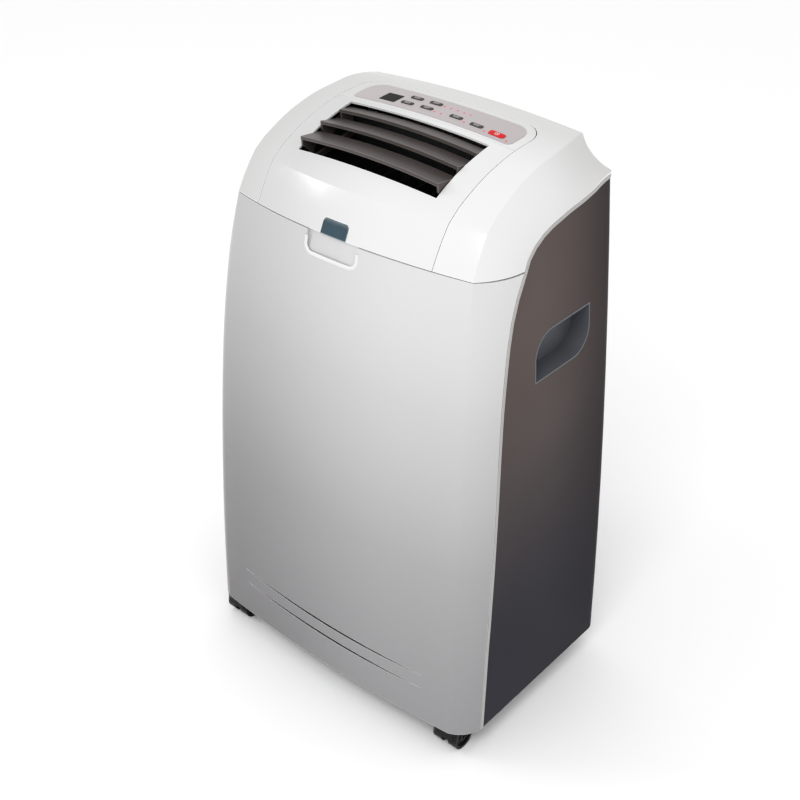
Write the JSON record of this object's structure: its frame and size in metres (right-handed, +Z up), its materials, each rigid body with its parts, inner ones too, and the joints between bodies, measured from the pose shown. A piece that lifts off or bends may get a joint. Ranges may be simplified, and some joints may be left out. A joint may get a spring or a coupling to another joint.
{
  "type": "portable air conditioner",
  "caption": "Upright wheeled room air conditioner with bowed front, top air outlet with tilting louvres, control panel, side grips and rear exhaust collar.",
  "frame": {"origin": "on the floor under the middle of the machine's bounding box", "axes": "+Z up, front faces -Y, +X is the machine's left-hand side seen from behind, right-hand side seen from the front"},
  "size_m": [0.4538, 0.3182, 0.7518],
  "materials": {
    "panel_silver": "satin",
    "shell_white": "gloss",
    "side_dark": "satin",
    "trim_grey": "satin",
    "overlay_grey": "satin",
    "button_grey": "matte",
    "power_red": "gloss",
    "display_black": "gloss",
    "lens_red": "gloss",
    "window_tint": "gloss",
    "louvre_black": "satin",
    "motor_steel": "satin",
    "base_black": "matte",
    "caster_black": "satin",
    "plug_rubber": "matte",
    "filter_net": "matte",
    "screw_steel": "satin",
    "coil_alloy": "satin",
    "copper_pipe": "satin",
    "compressor_black": "gloss",
    "blower_plastic": "matte"
  },
  "bodies": {
    "cabinet": {"base_pan": "base_black", "bulkhead": "motor_steel", "compressor": "compressor_black", "condenser": "coil_alloy", "control_overlay": "overlay_grey", "control_panel": "shell_white", "cord_gland": "base_black", "display_window": "display_black", "drain_spouts": "base_black", "electrical_box": "motor_steel", "evaporator": "coil_alloy", "exhaust_collar": "base_black", "guide_vanes": "louvre_black", "handle_cup_left": "side_dark", "handle_cup_right": "side_dark", "indicator_lenses": "lens_red", "louvre_motor": "motor_steel", "lower_blower_housing": "blower_plastic", "lower_fan_motor": "motor_steel", "lower_grille": "base_black", "outlet_duct": "louvre_black", "outlet_panel": "panel_silver", "rear_panel": "side_dark", "rear_screws": "screw_steel", "receiver_window": "window_tint", "refrigerant_pipes": "copper_pipe", "side_panel_left": "side_dark", "side_panel_right": "side_dark", "top_cover": "shell_white", "trim_left": "trim_grey", "trim_right": "trim_grey", "upper_blower_housing": "blower_plastic", "upper_fan_motor": "motor_steel"},
    "front_panel": {"front_panel": "panel_silver"},
    "louvre_front": {"louvre_front": "louvre_black"},
    "louvre_middle": {"louvre_middle": "louvre_black"},
    "louvre_rear": {"louvre_rear": "louvre_black"},
    "louvre_link": {"louvre_link": "louvre_black"},
    "intake_grille": {"intake_grille": "base_black", "filter_frame": "base_black", "filter_mesh": "filter_net"},
    "upper_fan": {"upper_fan": "blower_plastic"},
    "lower_fan": {"lower_fan": "blower_plastic"},
    "drain_plug_upper": {"drain_plug_upper": "plug_rubber"},
    "drain_plug_lower": {"drain_plug_lower": "plug_rubber"},
    "button_upper_left": {"button_upper_left": "button_grey"},
    "button_upper_right": {"button_upper_right": "button_grey"},
    "button_lower_1": {"button_lower_1": "button_grey"},
    "button_lower_2": {"button_lower_2": "button_grey"},
    "button_lower_3": {"button_lower_3": "button_grey"},
    "button_lower_4": {"button_lower_4": "button_grey"},
    "power_button": {"power_button": "power_red"},
    "caster_front_right": {"caster_hood_front_right": "caster_black"},
    "wheels_front_right": {"caster_wheels_front_right": "caster_black"},
    "caster_front_left": {"caster_hood_front_left": "caster_black"},
    "wheels_front_left": {"caster_wheels_front_left": "caster_black"},
    "caster_rear_right": {"caster_hood_rear_right": "caster_black"},
    "wheels_rear_right": {"caster_wheels_rear_right": "caster_black"},
    "caster_rear_left": {"caster_hood_rear_left": "caster_black"},
    "wheels_rear_left": {"caster_wheels_rear_left": "caster_black"}
  },
  "joints": [
    {"name": "front_panel_tilt", "type": "hinge", "parent": "cabinet", "child": "front_panel", "pos_m": [0, -0.1489, 0.039], "axis": [1, 0, 0], "range_deg": [0, 6]},
    {"name": "louvre_middle_tilt", "type": "hinge", "parent": "cabinet", "child": "louvre_middle", "pos_m": [0, -0.0165, 0.7185], "axis": [1, 0, 0], "range_deg": [-18, 6]},
    {"name": "louvre_front_tilt", "type": "hinge", "parent": "cabinet", "child": "louvre_front", "pos_m": [0, -0.0495, 0.71], "axis": [1, 0, 0], "range_deg": [-18, 6]},
    {"name": "louvre_rear_tilt", "type": "hinge", "parent": "cabinet", "child": "louvre_rear", "pos_m": [0, 0.0165, 0.723], "axis": [1, 0, 0], "range_deg": [-18, 6]},
    {"name": "louvre_link_swing", "type": "hinge", "parent": "louvre_middle", "child": "louvre_link", "pos_m": [0, -0.0165, 0.7045], "axis": [1, 0, 0], "range_deg": [-6, 18]},
    {"name": "intake_grille_hinge", "type": "hinge", "parent": "cabinet", "child": "intake_grille", "pos_m": [0, 0.13469, 0.4425], "axis": [-1, 0, 0], "range_deg": [0, 80]},
    {"name": "upper_fan_spin", "type": "hinge", "parent": "cabinet", "child": "upper_fan", "pos_m": [0, 0.005, 0.53], "axis": [1, 0, 0], "continuous": true},
    {"name": "lower_fan_spin", "type": "hinge", "parent": "cabinet", "child": "lower_fan", "pos_m": [0, 0.005, 0.17], "axis": [1, 0, 0], "continuous": true},
    {"name": "drain_plug_upper_pull", "type": "slide", "parent": "cabinet", "child": "drain_plug_upper", "axis": [0, 1, 0], "range_m": [0, 0.012]},
    {"name": "drain_plug_lower_pull", "type": "slide", "parent": "cabinet", "child": "drain_plug_lower", "axis": [0, 1, 0], "range_m": [0, 0.012]},
    {"name": "button_upper_left_press", "type": "slide", "parent": "cabinet", "child": "button_upper_left", "axis": [0, 0, 1], "range_m": [-0.0008, 0], "stiffness_N_per_m": 300},
    {"name": "button_upper_right_press", "type": "slide", "parent": "cabinet", "child": "button_upper_right", "axis": [0, 0, 1], "range_m": [-0.0008, 0], "stiffness_N_per_m": 300},
    {"name": "button_lower_1_press", "type": "slide", "parent": "cabinet", "child": "button_lower_1", "axis": [0, 0, 1], "range_m": [-0.0008, 0], "stiffness_N_per_m": 300},
    {"name": "button_lower_2_press", "type": "slide", "parent": "cabinet", "child": "button_lower_2", "axis": [0, 0, 1], "range_m": [-0.0008, 0], "stiffness_N_per_m": 300},
    {"name": "button_lower_3_press", "type": "slide", "parent": "cabinet", "child": "button_lower_3", "axis": [0, 0, 1], "range_m": [-0.0008, 0], "stiffness_N_per_m": 300},
    {"name": "button_lower_4_press", "type": "slide", "parent": "cabinet", "child": "button_lower_4", "axis": [0, 0, 1], "range_m": [-0.0008, 0], "stiffness_N_per_m": 300},
    {"name": "power_button_press", "type": "slide", "parent": "cabinet", "child": "power_button", "axis": [0, 0, 1], "range_m": [-0.0008, 0], "stiffness_N_per_m": 300},
    {"name": "caster_front_right_swivel", "type": "hinge", "parent": "cabinet", "child": "caster_front_right", "pos_m": [0.19, -0.121, 0.036], "axis": [0, 0, 1], "continuous": true},
    {"name": "wheels_front_right_spin", "type": "hinge", "parent": "caster_front_right", "child": "wheels_front_right", "pos_m": [0.19, -0.127, 0.0173], "axis": [1, 0, 0], "continuous": true},
    {"name": "caster_front_left_swivel", "type": "hinge", "parent": "cabinet", "child": "caster_front_left", "pos_m": [-0.19, -0.121, 0.036], "axis": [0, 0, 1], "continuous": true},
    {"name": "wheels_front_left_spin", "type": "hinge", "parent": "caster_front_left", "child": "wheels_front_left", "pos_m": [-0.19, -0.127, 0.0173], "axis": [1, 0, 0], "continuous": true},
    {"name": "caster_rear_right_swivel", "type": "hinge", "parent": "cabinet", "child": "caster_rear_right", "pos_m": [0.15, 0.1, 0.036], "axis": [0, 0, 1], "continuous": true},
    {"name": "wheels_rear_right_spin", "type": "hinge", "parent": "caster_rear_right", "child": "wheels_rear_right", "pos_m": [0.15, 0.106, 0.0173], "axis": [1, 0, 0], "continuous": true},
    {"name": "caster_rear_left_swivel", "type": "hinge", "parent": "cabinet", "child": "caster_rear_left", "pos_m": [-0.15, 0.1, 0.036], "axis": [0, 0, 1], "continuous": true},
    {"name": "wheels_rear_left_spin", "type": "hinge", "parent": "caster_rear_left", "child": "wheels_rear_left", "pos_m": [-0.15, 0.106, 0.0173], "axis": [1, 0, 0], "continuous": true}
  ],
  "couplings": [
    {"joint": "louvre_front_tilt", "follows": "louvre_middle_tilt", "ratio": 1},
    {"joint": "louvre_rear_tilt", "follows": "louvre_middle_tilt", "ratio": 1},
    {"joint": "louvre_link_swing", "follows": "louvre_middle_tilt", "ratio": -1}
  ]
}
